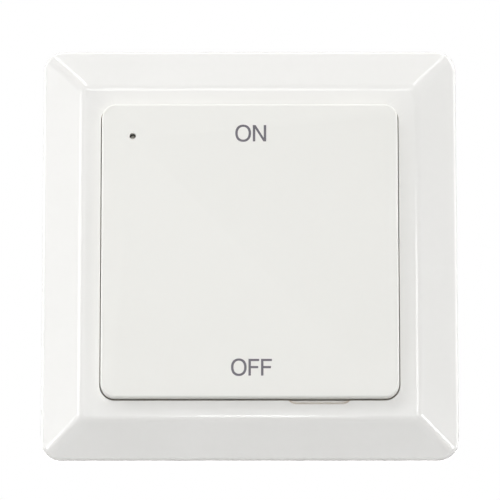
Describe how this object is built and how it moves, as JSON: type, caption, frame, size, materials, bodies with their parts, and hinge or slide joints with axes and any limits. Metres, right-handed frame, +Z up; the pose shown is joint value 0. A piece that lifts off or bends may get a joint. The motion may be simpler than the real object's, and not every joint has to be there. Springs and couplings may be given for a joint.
{
  "type": "wireless remote wall switch",
  "caption": "Square wall switch with a bevelled frame and one tilting on and off rocker over a battery powered radio module.",
  "frame": {"origin": "centre of the base plate's flat back face, on the wall", "axes": "+X to the viewer's right, +Z up (the ON end of the rocker), -Y out of the wall towards the viewer"},
  "size_m": [0.085, 0.0104, 0.085],
  "materials": {
    "frame_plastic": "glossy white moulded plastic",
    "rocker_plastic": "fine matt white moulded plastic",
    "lettering_ink": "matt dark grey print",
    "base_plastic": "matt white moulded plastic",
    "cover_plastic": "matt pale grey moulded plastic",
    "screw_steel": "zinc plated steel",
    "spring_steel": "rolled spring steel",
    "board_laminate": "green solder mask on glass laminate",
    "cell_steel": "brushed nickel plated steel",
    "holder_plastic": "black moulded plastic",
    "contact_metal": "tin plated strip",
    "led_resin": "clear resin over a pale body",
    "clear_plastic": "clear polished plastic",
    "chip_plastic": "black epoxy",
    "can_metal": "drawn metal can",
    "antenna_wire": "bare copper wire",
    "resistor_ceramic": "glazed black with tinned ends",
    "capacitor_ceramic": "tan ceramic with tinned ends",
    "plunger_plastic": "natural nylon"
  },
  "bodies": {
    "housing": {"base_plate": "base_plastic", "battery_holder": "holder_plastic", "battery_negative_contact": "contact_metal", "battery_positive_clip": "contact_metal", "chip_capacitors": "capacitor_ceramic", "chip_resistors": "resistor_ceramic", "circuit_board": "board_laminate", "coin_cell": "cell_steel", "cover_screws": "screw_steel", "crystal": "can_metal", "encoder_chip": "chip_plastic", "encoder_chip_pins": "contact_metal", "frame": "frame_plastic", "indicator_led": "led_resin", "leaf_spring": "spring_steel", "light_pipe": "clear_plastic", "loop_antenna": "antenna_wire", "module_cover": "cover_plastic", "off_switch_body": "holder_plastic", "off_switch_cover": "can_metal", "off_switch_dome": "spring_steel", "off_switch_terminals": "contact_metal", "on_switch_body": "holder_plastic", "on_switch_cover": "can_metal", "on_switch_dome": "spring_steel", "on_switch_terminals": "contact_metal"},
    "rocker": {"rocker": "rocker_plastic"},
    "on_plunger": {"on_switch_plunger": "plunger_plastic"},
    "off_plunger": {"off_switch_plunger": "plunger_plastic"}
  },
  "joints": [
    {"name": "rocker_tilt", "type": "hinge", "parent": "housing", "child": "rocker", "pos_m": [0, -0.0061, 0], "axis": [1, 0, 0], "range_deg": [-1.4, 1.4], "stiffness_Nm_per_rad": 1.2, "deforming": ["leaf_spring"]},
    {"name": "on_press", "type": "slide", "parent": "housing", "child": "on_plunger", "axis": [0, 1, 0], "range_m": [0, 0.00025], "stiffness_N_per_m": 4000, "deforming": ["on_switch_dome"]},
    {"name": "off_press", "type": "slide", "parent": "housing", "child": "off_plunger", "axis": [0, 1, 0], "range_m": [0, 0.00025], "stiffness_N_per_m": 4000, "deforming": ["off_switch_dome"]}
  ]
}
